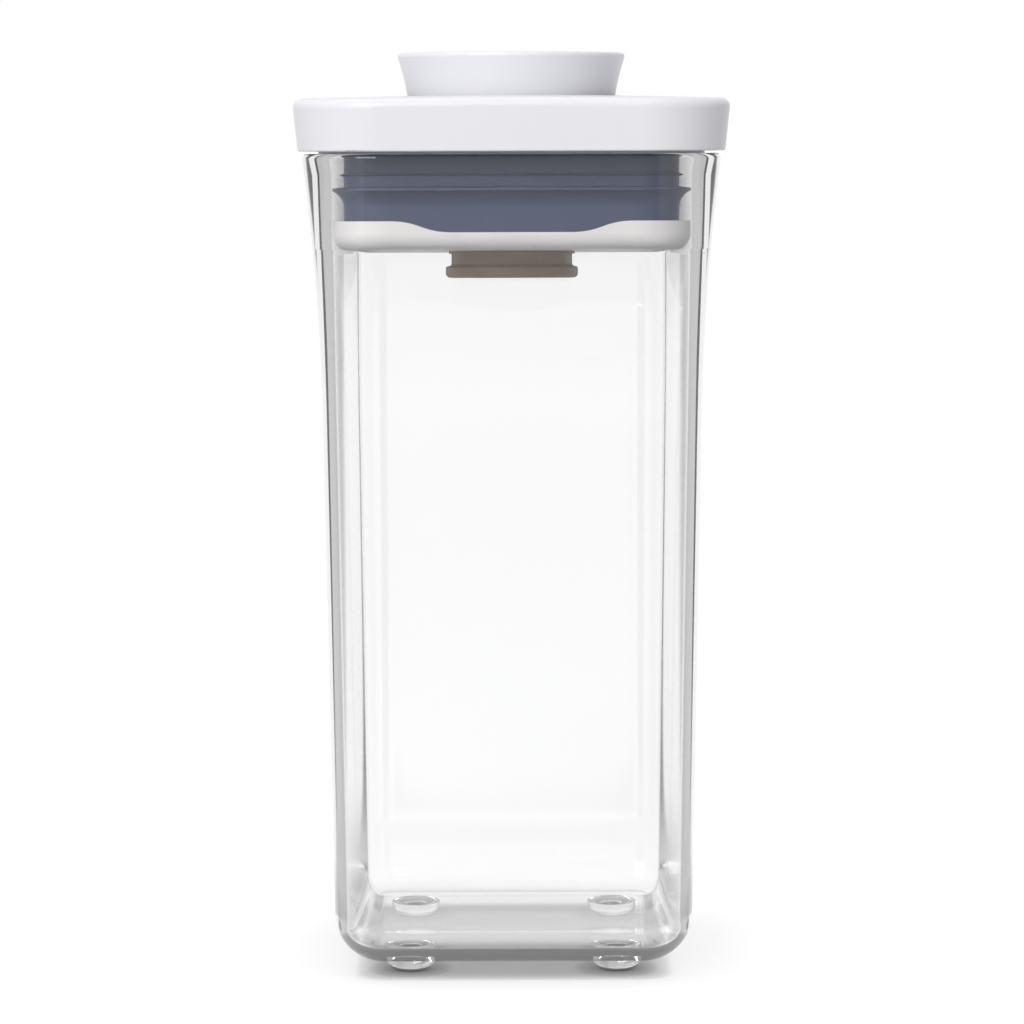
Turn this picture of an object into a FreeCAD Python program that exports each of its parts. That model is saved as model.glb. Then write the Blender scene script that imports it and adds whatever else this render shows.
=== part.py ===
import FreeCAD, Part
import math
import os
from types import SimpleNamespace

import Sketcher

# Square see-through storage container with a push-button sealing lid, in millimetres.
# The frame stands on the four feet: origin at the middle of the footprint, Z up, front towards -Y.
# All rounded squares share the same corner centres, so the pieces nest with even gaps.

SIZES = {
    # Container body, given from the inside out
    "band_half": 33.3,
    "band_corner": 9.25,
    "rim_height": 153.7,
    "rim_wall": 5.25,
    "rim_round": 0.9,
    "mouth_round": 0.5,
    "lead_in_step": 0.55,
    "lead_in_drop": 3.5,
    "ledge_step": 0.25,
    "ledge_drop": 17.3,
    "waist_height": 105.0,
    "waist_wall": 2.52,
    "wall_draw_in": 2.0,
    "floor_thickness": 2.8,
    "base_wall": 2.15,
    "base_round": 9.0,
    "inner_round": 4.5,
    "foot_height": 2.6,
    "foot_radius": 4.8,
    "foot_inset": 13.95,
    "foot_round": 1.0,
    "dimple_radius": 2.1,
    "dimple_depth": 0.7,
    # Lid cover
    "seat_gap": 0.45,
    "seat_inset": 3.0,
    "seat_wall": 1.8,
    "skirt_overhang": 0.8,
    "skirt_flare": 1.0,
    "skirt_wall": 2.0,
    "skirt_height": 9.8,
    "plate_thickness": 1.6,
    "crown_rise": 0.6,
    "crown_radius": 1333.0,
    "crown_stock": 1.0,
    "lid_edge_round": 1.6,
    "skirt_edge_round": 0.4,
    "well_rim_round": 0.5,
    "sleeve_wall": 1.5,
    "sleeve_depth": 12.0,
    "post_radius": 2.7,
    "pin_radius": 1.7,
    "pin_head_radius": 2.3,
    "pin_head_height": 0.6,
    # Push button
    "button_margin": 14.05,
    "button_flare": 2.25,
    "button_wall": 1.8,
    "button_top_thickness": 2.0,
    "button_travel": 7.2,
    "button_proud": 0.7,
    "button_edge": 0.9,
    "button_edge_inset": 0.64,
    "skirt_straight": 0.4,
    "socket_wall": 1.15,
    "socket_depth": 4.0,
    # Button stem with its heart-cam groove
    "stem_radius": 4.2,
    "barb_radius": 5.3,
    "barb_height": 1.8,
    "barb_chamfer": 0.7,
    "groove_depth": 1.5,
    "groove_margin": 0.4,
    "latch_swing": 1.55,
    # Return spring
    "spring_wire": 1.0,
    "spring_radius": 6.25,
    "spring_gap": 0.1,
    # Latch pin
    "latch_wire": 1.2,
    "latch_arm": 4.6,
    "latch_bend": 1.0,
    "latch_stand": 0.3,
    "latch_seat": 1.4,
    # Seal presser
    "presser_travel": 1.8,
    "presser_floor": 1.6,
    "presser_flange": 1.2,
    "presser_headroom": 0.8,
    "presser_spare": 0.1,
    "presser_lip": 0.15,
    # Plug frame
    "frame_floor": 2.0,
    "frame_wall": 1.6,
    "frame_headroom": 0.7,
    "boss_wall": 2.0,
    "boss_height": 3.4,
    "boss_roof": 1.0,
    "guide_wall": 1.0,
    "guide_height": 9.5,
    "relief_depth": 1.0,
    "seat_flange_radius": 8.0,
    "seat_flange_thickness": 1.6,
    "seat_flange_rise": 3.9,
    "window_margin": 0.3,
    # Gasket, heights from its lower edge
    "gasket_wall": 2.25,
    "gasket_height": 14.7,
    "gasket_round": 1.2,
    "fin_root_height": 6.0,
    "fin_tip_height": 9.0,
    "fin_tip_thickness": 0.45,
    "fin_top_height": 9.85,
    "rib_height": 11.75,
    "rib_reach": 0.75,
    "rib_slope": 0.2,
    "rib_thickness": 0.15,
    # Gasket retainer
    "plug_depth": 17.2,
    "retainer_floor": 1.6,
    "retainer_wall": 1.8,
    "retainer_height": 5.2,
    "retainer_round": 2.8,
    "retainer_inner_round": 0.8,
    "wave_dip": 2.05,
    "wave_flat_half": 11.2,
    "wave_margin": 2.15,
    # Accessory knob
    "knob_radius": 12.6,
    "knob_neck_radius": 11.5,
    "knob_collar": 0.5,
    "knob_collar_radius": 12.0,
    "knob_flange": 2.3,
    "knob_cap": 1.1,
    "knob_round": 0.9,
    "knob_neck_round": 0.6,
    "knob_bore_radius": 6.0,
    "spigot_radius": 7.85,
    # Clearances
    "slide_clearance": 0.3,
    "fit_clearance": 0.15,
    "seal_clearance": 0.25,
    "well_clearance": 0.4,
    "well_foot_clearance": 0.6,
    "soft_clearance": 0.2,
    "end_clearance": 1.0,
    "overrun": 5.0,
}
SPRING_TURNS = 8
QUARTERS = 4
RISER_SHARE = 0.4
FULL_SHARE = 0.99999
PARALLEL_SHARE = 1e-9
ISLAND_SHARES = ((0.495, 0.47), (0.63, 0.86), (0.52, 0.79), (0.35, 0.84))

doc = FreeCAD.newDocument("storage_container")
sheet = doc.addObject("Spreadsheet::Sheet", "Sizes")
for row, (alias, number) in enumerate(SIZES.items(), start=1):
    sheet.set(f"A{row}", alias)
    sheet.set(f"B{row}", str(number))
    sheet.setAlias(f"B{row}", alias)
doc.recompute()


class Size:
    """A size: its value now, and the formula that drives it."""

    def __init__(self, value, text):
        self.value = value
        self.text = text

    def __add__(self, other):
        other = as_size(other)
        return Size(self.value + other.value, f"({self.text} + {other.text})")

    def __sub__(self, other):
        other = as_size(other)
        return Size(self.value - other.value, f"({self.text} - {other.text})")

    def __mul__(self, other):
        other = as_size(other)
        return Size(self.value * other.value, f"({self.text} * {other.text})")

    def __truediv__(self, other):
        other = as_size(other)
        return Size(self.value / other.value, f"({self.text} / {other.text})")

    def __rmul__(self, other):
        return self * other

    def root(self):
        return Size(math.sqrt(self.value), f"sqrt({self.text})")


def as_size(number):
    return number if isinstance(number, Size) else Size(number, repr(number))


def worth(number):
    return number.value if isinstance(number, Size) else number


s = SimpleNamespace(**{alias: Size(sheet.get(alias), f"Sizes.{alias}") for alias in SIZES})

# Places that several pieces share
corner_centre = s.band_half - s.band_corner
rim_half = s.band_half + s.rim_wall
upper_half = s.band_half - s.ledge_step
floor_half = s.band_half - s.wall_draw_in
base_half = floor_half + s.base_wall
foot_place = base_half - s.foot_inset
floor_z = s.foot_height + s.floor_thickness
ledge_z = s.rim_height - s.ledge_drop
skirt_z = s.rim_height + s.seat_gap
lid_edge_z = skirt_z + s.skirt_height
lid_top_z = lid_edge_z + s.crown_rise
plate_z = lid_edge_z - s.plate_thickness
sleeve_z = lid_top_z - s.sleeve_depth
button_top_z = lid_top_z + s.button_proud + s.button_travel
button_under_z = button_top_z - s.button_top_thickness
button_radius = s.band_half - s.button_margin
button_rim_radius = button_radius + s.button_flare
presser_top_z = sleeve_z - s.presser_headroom
presser_z = presser_top_z - s.presser_floor
button_skirt_z = presser_top_z - s.presser_travel + s.presser_spare + s.button_travel
retainer_z = s.rim_height - s.plug_depth
retainer_half = s.band_half - s.slide_clearance
retainer_inner_half = retainer_half - s.retainer_wall
frame_z = retainer_z + s.retainer_floor
frame_floor_z = frame_z + s.frame_floor
gasket_z = frame_z + s.soft_clearance
gasket_top_z = gasket_z + s.gasket_height
gasket_half = retainer_inner_half - s.slide_clearance
gasket_inner_half = gasket_half - s.gasket_wall
frame_half = gasket_inner_half - s.slide_clearance
frame_inner_half = frame_half - s.frame_wall
frame_wall_z = presser_z - s.presser_travel - s.frame_headroom
presser_half = frame_inner_half - s.soft_clearance
riser_corner = RISER_SHARE * (presser_half - corner_centre)
post_hole_radius = s.post_radius + s.slide_clearance
post_place = corner_centre + riser_corner - post_hole_radius - s.soft_clearance
boss_z = frame_floor_z + s.boss_height
spigot_hole_radius = s.spigot_radius + s.fit_clearance
relief_z = boss_z - s.boss_roof
counterbore_z = relief_z - s.relief_depth
guide_bore_radius = s.stem_radius + s.soft_clearance
guide_radius = guide_bore_radius + s.guide_wall
guide_z = boss_z + s.guide_height
spring_seat_z = boss_z + s.seat_flange_rise + s.seat_flange_thickness
barb_top_z = relief_z - s.soft_clearance
barb_z = barb_top_z - s.barb_height
knob_bore_z = barb_z - s.button_travel - s.end_clearance
latch_pivot_z = counterbore_z - s.slide_clearance
latch_tip_z = latch_pivot_z + s.latch_arm
latch_tip_reach = s.stem_radius - s.groove_depth + s.latch_wire / 2
latch_tip_clear = s.latch_wire / 2 + s.window_margin


def from_corner(half):
    """Distance of a wall from the corner centre line, which is its corner radius too."""
    return half - corner_centre


def bow_radius(run, rise):
    """Radius of an arc that starts square to its rise and climbs by it over the run."""
    return (run * run + rise * rise) / (2 * rise)


def new_body(label):
    body = doc.addObject("PartDesign::Body", label)
    body.Label = label
    return body


def origin_feature(body, role):
    return next(item for item in body.Origin.OriginFeatures if item.Role == role)


def sketch_on(body, name, role, offset=(0, 0, 0)):
    sketch = body.newObject("Sketcher::SketchObject", name)
    sketch.AttachmentSupport = [(origin_feature(body, role), "")]
    sketch.MapMode = "FlatFace"
    base = FreeCAD.Vector(*(worth(part) for part in offset))
    sketch.AttachmentOffset = FreeCAD.Placement(base, FreeCAD.Rotation())
    for axis, part in zip("xyz", offset):
        if isinstance(part, Size):
            sketch.setExpression(f"AttachmentOffset.Base.{axis}", part.text)
    return sketch


def drive(sketch, constraint, size):
    index = sketch.addConstraint(constraint)
    sketch.setExpression(f"Constraints[{index}]", as_size(size).text)


def place(sketch, geometry, end, x, y):
    """Tie one point of a sketch to its two coordinates."""
    for kind, axis, part in (("DistanceX", -2, x), ("DistanceY", -1, y)):
        if isinstance(part, Size):
            drive(sketch, Sketcher.Constraint(kind, -1, 1, geometry, end, part.value), part)
        else:
            sketch.addConstraint(Sketcher.Constraint("PointOnObject", geometry, end, axis))


def unit(vector):
    return vector / vector.Length


def left_of(vector):
    return FreeCAD.Vector(-vector.y, vector.x, 0)


def arc_about(centre, start, end, turns_left):
    """An arc from start to end, with the numbers that a sketch gives its two ends."""
    first, last = (start, end) if turns_left else (end, start)
    angles = [math.atan2(p.y - centre.y, p.x - centre.x) for p in (first, last)]
    if angles[1] < angles[0]:
        angles[1] += 2 * math.pi
    circle = Part.Circle(centre, FreeCAD.Vector(0, 0, 1), (start - centre).Length)
    ends = (1, 2) if turns_left else (2, 1)
    return Part.ArcOfCircle(circle, *angles), ends


def outline(sketch, corners, arcs=None):
    """A closed outline through corners (x, y) or (x, y, round).

    arcs maps the number of a corner to the arc that leaves it: "tangent" to go on in the
    direction of the side before it, or (radius, 1) to turn left and (radius, -1) to turn right.
    """
    arcs = arcs or {}
    count = len(corners)
    points = [FreeCAD.Vector(worth(corner[0]), worth(corner[1]), 0) for corner in corners]
    arrive = list(points)
    leave = list(points)
    rounds = {}
    for i, corner in enumerate(corners):
        if len(corner) == 3:
            before = unit(points[i] - points[i - 1])
            after = unit(points[(i + 1) % count] - points[i])
            turn = math.atan2(before.cross(after).z, before.dot(after))
            setback = corner[2].value * math.tan(abs(turn) / 2)
            arrive[i] = points[i] - before * setback
            leave[i] = points[i] + after * setback
            side = math.copysign(1, turn)
            centre = arrive[i] + left_of(before) * side * corner[2].value
            rounds[i] = arc_about(centre, arrive[i], leave[i], turn > 0)
    sides = []
    heading = None
    for i in range(count):
        start, end = leave[i], arrive[(i + 1) % count]
        chord = end - start
        if i not in arcs:
            geometry, ends = Part.LineSegment(start, end), (1, 2)
            heading = unit(chord)
        else:
            if arcs[i] == "tangent":
                normal = left_of(heading)
                reach = chord.dot(chord) / (2 * chord.dot(normal))
                centre = start + normal * reach
                turns_left = reach > 0
            else:
                radius, side = arcs[i]
                rise = math.sqrt(radius.value**2 - chord.dot(chord) / 4)
                centre = (start + end) / 2 + left_of(unit(chord)) * rise * side
                turns_left = side > 0
            geometry, ends = arc_about(centre, start, end, turns_left)
            spoke = left_of(unit(end - centre))
            heading = spoke if turns_left else spoke * -1
        sides.append((sketch.addGeometry(geometry, False), *ends))
    for i in range(count):
        before, after = sides[i - 1], sides[i]
        x, y = corners[i][:2]
        if i in rounds:
            geometry, (first, last) = rounds[i]
            arc = sketch.addGeometry(geometry, False)
            sketch.addConstraint(Sketcher.Constraint("Tangent", before[0], before[2], arc, first))
            sketch.addConstraint(Sketcher.Constraint("Tangent", arc, last, after[0], after[1]))
            drive(sketch, Sketcher.Constraint("Radius", arc, corners[i][2].value), corners[i][2])
            mark = sketch.addGeometry(Part.Point(points[i]), True)
            for side in (before, after):
                sketch.addConstraint(Sketcher.Constraint("PointOnObject", mark, 1, side[0]))
            place(sketch, mark, 1, x, y)
        else:
            joint = "Tangent" if arcs.get(i) == "tangent" else "Coincident"
            sketch.addConstraint(Sketcher.Constraint(joint, before[0], before[2], after[0], after[1]))
            place(sketch, after[0], after[1], x, y)
    for i, arc in arcs.items():
        if arc != "tangent":
            drive(sketch, Sketcher.Constraint("Radius", sides[i][0], arc[0].value), arc[0])


def square(sketch, half):
    """A square about the sketch's origin."""
    reach = half.value
    signs = ((-1, -1), (1, -1), (1, 1), (-1, 1))
    points = [FreeCAD.Vector(x * reach, y * reach, 0) for x, y in signs]
    sides = [Part.LineSegment(points[i - 1], points[i]) for i in range(len(points))]
    lines = [sketch.addGeometry(side, False) for side in sides]
    for i, line in enumerate(lines):
        sketch.addConstraint(Sketcher.Constraint("Coincident", lines[i - 1], 2, line, 1))
    for i, line in enumerate(lines):
        sketch.addConstraint(Sketcher.Constraint("Horizontal" if i % 2 else "Vertical", line))
    sketch.addConstraint(Sketcher.Constraint("Symmetric", lines[1], 1, lines[2], 2, -1, 1))
    drive(sketch, Sketcher.Constraint("DistanceX", lines[1], 1, lines[1], 2, 2 * reach), 2 * half)
    drive(sketch, Sketcher.Constraint("DistanceY", lines[2], 1, lines[2], 2, 2 * reach), 2 * half)


def circle(sketch, radius, x=0, y=0):
    centre = FreeCAD.Vector(worth(x), worth(y), 0)
    ring = sketch.addGeometry(Part.Circle(centre, FreeCAD.Vector(0, 0, 1), radius.value), False)
    drive(sketch, Sketcher.Constraint("Radius", ring, radius.value), radius)
    if isinstance(x, Size):
        place(sketch, ring, 3, x, y)
    else:
        sketch.addConstraint(Sketcher.Constraint("Coincident", ring, 3, -1, 1))


def pad(body, sketch, length):
    feature = body.newObject("PartDesign::Pad", f"{sketch.Name}_pad")
    feature.Profile = sketch
    feature.Length = length.value
    feature.setExpression("Length", length.text)
    return feature


def turn(body, sketch, angle=360, cut=False):
    """The sketch turned about its own upright axis, as a solid or as a cut."""
    kind = "Groove" if cut else "Revolution"
    feature = body.newObject(f"PartDesign::{kind}", f"{sketch.Name}_{kind.lower()}")
    feature.Profile = sketch
    feature.ReferenceAxis = (sketch, ["V_Axis"])
    feature.Angle = angle
    return feature


def must_remove(cut):
    """Stop if a cut points away from the solid."""
    doc.recompute()
    left_share = cut.Shape.Volume / cut.BaseFeature.Shape.Volume
    if left_share > FULL_SHARE:
        raise RuntimeError(f"{cut.Name} removes nothing")
    return cut


def pocket(body, sketch, length, backwards=False):
    """A cut against the sketch's normal, or along it when backwards is set."""
    feature = body.newObject("PartDesign::Pocket", f"{sketch.Name}_pocket")
    feature.Profile = sketch
    feature.Length = length.value
    feature.setExpression("Length", length.text)
    feature.Reversed = backwards
    return must_remove(feature)


def around(body, features, count=QUARTERS, angle=360):
    """The features repeated about the upright axis."""
    pattern = body.newObject("PartDesign::PolarPattern", f"{body.Name}_{features[0].Name}_round")
    pattern.Originals = features
    pattern.Axis = (origin_feature(body, "Z_Axis"), [""])
    pattern.Angle = angle
    pattern.Occurrences = count
    body.Tip = pattern
    return pattern


def slab(body, name, bottom, thickness):
    """The middle of a rounded-square plate, as far as the corner centres."""
    sketch = sketch_on(body, f"{name}_slab", "XY_Plane", (0, 0, bottom))
    square(sketch, corner_centre)
    return pad(body, sketch, thickness)


def quarter_ring(body, name, corners, arcs=None):
    """One side and one corner of a rounded-square ring whose section is drawn from the corner centre."""
    sketch = sketch_on(body, f"{name}_section", "XZ_Plane", (corner_centre, 0, -1 * corner_centre))
    outline(sketch, corners, arcs)
    return [pad(body, sketch, 2 * corner_centre), turn(body, sketch, angle=90)]


def fillet(body, name, radius, wanted):
    """Round the edges of the body that wanted picks."""
    doc.recompute()
    base = body.Tip
    picked = [f"Edge{i}" for i, edge in enumerate(base.Shape.Edges, start=1) if wanted(edge)]
    feature = body.newObject("PartDesign::Fillet", name)
    feature.Base = (base, picked)
    feature.Radius = radius.value
    feature.setExpression("Radius", radius.text)
    doc.recompute()
    return feature


def make_container_body():
    """The clear shell: drawn-in walls, flared rim, sealing band with its ledge, four dimpled feet."""
    body = new_body("container_body")
    waist_lift = (s.waist_height - floor_z) / (ledge_z - floor_z)
    waist_half = floor_half + (upper_half - floor_half) * waist_lift + s.waist_wall
    slab(body, "container_floor", s.foot_height, s.floor_thickness)
    wall = quarter_ring(
        body,
        "container_wall",
        [
            (0, s.foot_height),
            (from_corner(base_half), s.foot_height, s.base_round),
            (from_corner(waist_half), s.waist_height),
            (from_corner(rim_half), s.rim_height - s.rim_round),
            (from_corner(rim_half) - s.rim_round, s.rim_height),
            (from_corner(s.band_half) + s.lead_in_step, s.rim_height, s.mouth_round),
            (from_corner(s.band_half), s.rim_height - s.lead_in_drop),
            (from_corner(s.band_half), ledge_z),
            (from_corner(upper_half), ledge_z),
            (from_corner(floor_half), floor_z, s.inner_round),
            (0, floor_z),
        ],
        {2: "tangent", 3: "tangent"},
    )
    foot = sketch_on(body, "foot_section", "XZ_Plane", (foot_place, 0, -1 * foot_place))
    foot_top = s.foot_height + s.floor_thickness / 2
    dimple_curve = bow_radius(s.dimple_radius, s.dimple_depth)
    outline(
        foot,
        [
            (0, foot_top),
            (0, s.dimple_depth),
            (s.dimple_radius, 0),
            (s.foot_radius, 0, s.foot_round),
            (s.foot_radius, foot_top),
        ],
        {1: (dimple_curve, -1)},
    )
    around(body, wall + [turn(body, foot)])
    return body


def make_lid_cover():
    """The white cover: crowned top, flared skirt, seat wall on the rim, funnel well and four posts."""
    body = new_body("lid_cover")
    skirt_half = rim_half + s.skirt_overhang
    seat_half = rim_half - s.seat_inset
    stock_z = lid_top_z + s.crown_stock
    flare_rate = s.skirt_flare / s.skirt_height
    stock_half = skirt_half + flare_rate * (stock_z - skirt_z)
    slab(body, "lid_plate", plate_z, stock_z - plate_z)
    skirt = quarter_ring(
        body,
        "lid_skirt",
        [
            (0, plate_z),
            (from_corner(seat_half) - s.seat_wall, plate_z),
            (from_corner(seat_half) - s.seat_wall, s.rim_height),
            (from_corner(seat_half), s.rim_height),
            (from_corner(seat_half), plate_z),
            (from_corner(skirt_half) - s.skirt_wall + s.skirt_flare, plate_z),
            (from_corner(skirt_half) - s.skirt_wall, skirt_z),
            (from_corner(skirt_half), skirt_z, s.skirt_edge_round),
            (from_corner(stock_half), stock_z),
            (0, stock_z),
        ],
    )
    post = sketch_on(body, "post_section", "XZ_Plane", (post_place, 0, -1 * post_place))
    head_z = frame_z + s.soft_clearance
    post_top = plate_z + s.plate_thickness / 2
    outline(
        post,
        [
            (0, head_z),
            (s.pin_head_radius, head_z),
            (s.pin_head_radius, head_z + s.pin_head_height),
            (s.pin_radius, head_z + s.pin_head_height),
            (s.pin_radius, frame_floor_z),
            (s.post_radius, frame_floor_z),
            (s.post_radius, post_top),
            (0, post_top),
        ],
    )
    around(body, skirt + [turn(body, post)])

    well_top = button_rim_radius + s.well_clearance
    well_foot = button_radius + s.well_foot_clearance
    opening = sketch_on(body, "well_opening", "XY_Plane", (0, 0, stock_z + s.overrun))
    circle(opening, well_top)
    pocket(body, opening, stock_z - plate_z + s.overrun + s.overrun)

    def crown_height(reach):
        return lid_top_z - s.crown_radius + (s.crown_radius * s.crown_radius - reach * reach).root()

    crown = sketch_on(body, "crown_section", "XZ_Plane")
    near = button_radius
    far = 2 * stock_half
    outline(
        crown,
        [
            (near, crown_height(near)),
            (far, crown_height(far)),
            (far, stock_z + s.overrun),
            (near, stock_z + s.overrun),
        ],
        {0: (s.crown_radius, -1)},
    )
    must_remove(turn(body, crown, cut=True))

    widening = well_top - well_foot
    fall = plate_z - sleeve_z
    well_curve = bow_radius(fall, widening)
    root_z = plate_z + s.plate_thickness / 2
    sleeve = sketch_on(body, "well_sleeve", "XZ_Plane")
    outline(
        sleeve,
        [
            (well_foot, sleeve_z),
            (well_top, plate_z),
            (well_top, root_z),
            (well_top + s.sleeve_wall, root_z),
            (well_top + s.sleeve_wall, plate_z),
            (well_foot + s.sleeve_wall, sleeve_z),
        ],
        {0: (well_curve, -1), 4: (well_curve, 1)},
    )
    turn(body, sleeve)

    outer_reach = skirt_half.value
    well_reach = well_top.value + s.fit_clearance.value

    def on_top(edge):
        return edge.BoundBox.ZMin > plate_z.value + s.plate_thickness.value / 2

    def along_rim(edge):
        box = edge.BoundBox
        reached = max(abs(box.XMin), abs(box.XMax), abs(box.YMin), abs(box.YMax))
        return on_top(edge) and box.DiagonalLength > 0 and reached > outer_reach

    def round_well(edge):
        box = edge.BoundBox
        reached = max(abs(box.XMin), abs(box.XMax), abs(box.YMin), abs(box.YMax))
        return on_top(edge) and reached < well_reach

    fillet(body, "lid_edge", s.lid_edge_round, along_rim)
    fillet(body, "well_edge", s.well_rim_round, round_well)
    return body


def make_push_button():
    """The button: a hollow round cap, its side flaring to the rim, with a socket for the stem."""
    body = new_body("push_button")
    section = sketch_on(body, "button_section", "XZ_Plane")
    inner = button_radius - s.button_wall
    socket = s.stem_radius + s.fit_clearance
    socket_z = button_under_z - s.socket_depth
    outline(
        section,
        [
            (inner, button_skirt_z),
            (button_radius, button_skirt_z),
            (button_radius, button_skirt_z + s.skirt_straight),
            (button_rim_radius, button_top_z - s.button_edge),
            (button_rim_radius - s.button_edge_inset, button_top_z),
            (0, button_top_z),
            (0, button_under_z),
            (socket, button_under_z),
            (socket, socket_z),
            (socket + s.socket_wall, socket_z),
            (socket + s.socket_wall, button_under_z),
            (button_rim_radius - s.button_top_thickness, button_under_z),
        ],
        {2: "tangent", 3: "tangent"},
    )
    turn(body, section)
    return body


def make_button_stem():
    """The rod under the button: a stop barb at its foot and the heart-cam groove in its back."""
    body = new_body("button_stem")
    section = sketch_on(body, "stem_section", "XZ_Plane")
    outline(
        section,
        [
            (0, barb_z),
            (s.barb_radius - s.barb_chamfer, barb_z),
            (s.barb_radius, barb_z + s.barb_chamfer),
            (s.barb_radius, barb_top_z),
            (s.stem_radius, barb_top_z),
            (s.stem_radius, button_under_z),
            (0, button_under_z),
        ],
    )
    turn(body, section)

    half_track = s.latch_wire / 2 + s.groove_margin
    left = 3 * half_track
    foot_z = latch_tip_z - half_track
    crest_z = latch_tip_z + s.button_travel + half_track
    groove_floor = s.stem_radius - s.groove_depth
    groove = sketch_on(body, "heart_groove", "XZ_Plane", (-1 * left, 0, -1 * groove_floor))
    width = left + s.latch_swing + half_track
    height = crest_z - foot_z
    outline(
        groove,
        [
            (left - half_track, foot_z),
            (left + half_track, foot_z),
            (width, crest_z - 2 * half_track),
            (width, crest_z),
            (0, crest_z),
            (0, crest_z - height / 2),
        ],
    )
    outline(groove, [(width * across, foot_z + height * up) for across, up in ISLAND_SHARES])
    pocket(body, groove, s.stem_radius)
    return body


def biarc(start, start_way, end, end_way):
    """Two arcs that join two points and their directions smoothly."""
    chord = end - start
    both = start_way + end_way
    a = 2 * (1 - start_way.dot(end_way))
    b = 2 * chord.dot(both)
    c = -chord.dot(chord)
    reach = -c / b if abs(a) < abs(b) * PARALLEL_SHARE else (-b + math.sqrt(b * b - 4 * a * c)) / (2 * a)
    first = start + start_way * reach
    last = end - end_way * reach
    joint = (first + last) / 2
    edges = []
    for a_end, knee, b_end in ((start, first, joint), (joint, last, end)):
        middle = (a_end + b_end) / 2
        cosine = (middle - a_end).Length / (knee - a_end).Length
        top = middle + (knee - middle) * (cosine / (1 + cosine))
        edges.append(Part.Arc(a_end, top, b_end).toShape())
    return edges


def make_return_spring():
    """The coil spring between the frame's seat and the button, one unbroken wire."""
    radius = s.spring_radius.value
    wire_radius = s.spring_wire.value / 2
    low = spring_seat_z.value + s.spring_gap.value + wire_radius
    high = button_under_z.value - s.spring_gap.value - wire_radius
    pitch = (high - low) / SPRING_TURNS

    def at(turns):
        angle = 2 * math.pi * turns
        return FreeCAD.Vector(radius * math.cos(angle), radius * math.sin(angle), low + pitch * turns)

    def way(turns):
        angle = 2 * math.pi * turns
        run = 2 * math.pi * radius
        return unit(FreeCAD.Vector(-run * math.sin(angle), run * math.cos(angle), pitch))

    edges = []
    for i in range(SPRING_TURNS * QUARTERS):
        begin, stop = i / QUARTERS, (i + 1) / QUARTERS
        edges += biarc(at(begin), way(begin), at(stop), way(stop))
    path = Part.Wire(edges)
    section = Part.Wire([Part.Circle(at(0), way(0), wire_radius).toShape()])
    spring = doc.addObject("Part::Feature", "return_spring")
    spring.Label = "return_spring"
    spring.Shape = path.makePipeShell([section], True)
    samples = path.discretize(Number=SPRING_TURNS * QUARTERS * QUARTERS)
    half_turn = QUARTERS * QUARTERS // 2
    apart = min(
        (later - point).Length
        for i, point in enumerate(samples[:-half_turn])
        for later in samples[i + half_turn:i + 3 * half_turn]
    )
    print(f"return_spring least gap between turns {apart - 2 * wire_radius:.2f} mm")
    return spring


def make_latch_pin():
    """The bent wire that follows the heart-cam groove: a pivot end, an arm and a tip."""
    body = new_body("latch_pin")
    outer = spigot_hole_radius + s.boss_wall + s.latch_stand + s.latch_wire / 2
    pivot_end = outer - s.latch_stand - s.latch_wire / 2 - s.latch_seat
    path = sketch_on(body, "latch_path", "YZ_Plane")
    spine = [
        (pivot_end, latch_pivot_z),
        (outer, latch_pivot_z),
        (outer, latch_tip_z),
        (latch_tip_reach, latch_tip_z),
    ]
    points = [FreeCAD.Vector(y.value, z.value, 0) for y, z in spine]
    bend = s.latch_bend.value
    rise = FreeCAD.Vector(0, bend, 0)
    run = FreeCAD.Vector(bend, 0, 0)
    ends = [
        (points[0], points[1] - run),
        (points[1] + rise, points[2] - rise),
        (points[2] - run, points[3]),
    ]
    lines = [path.addGeometry(Part.LineSegment(*pair), False) for pair in ends]
    for i, centre in ((0, points[1] - run + rise), (1, points[2] - run - rise)):
        geometry, (first, last) = arc_about(centre, ends[i][1], ends[i + 1][0], True)
        arc = path.addGeometry(geometry, False)
        path.addConstraint(Sketcher.Constraint("Tangent", lines[i], 2, arc, first))
        path.addConstraint(Sketcher.Constraint("Tangent", arc, last, lines[i + 1], 1))
        drive(path, Sketcher.Constraint("Radius", arc, bend), s.latch_bend)
        mark = path.addGeometry(Part.Point(points[i + 1]), True)
        for line in (lines[i], lines[i + 1]):
            path.addConstraint(Sketcher.Constraint("PointOnObject", mark, 1, line))
        place(path, mark, 1, *spine[i + 1])
    place(path, lines[0], 1, *spine[0])
    place(path, lines[2], 2, *spine[3])
    section = sketch_on(body, "latch_section", "XZ_Plane", (0, latch_pivot_z, -1 * pivot_end))
    circle(section, s.latch_wire / 2)
    wire = body.newObject("PartDesign::AdditivePipe", "latch_wire")
    wire.Profile = section
    wire.Spine = path
    return body


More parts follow.
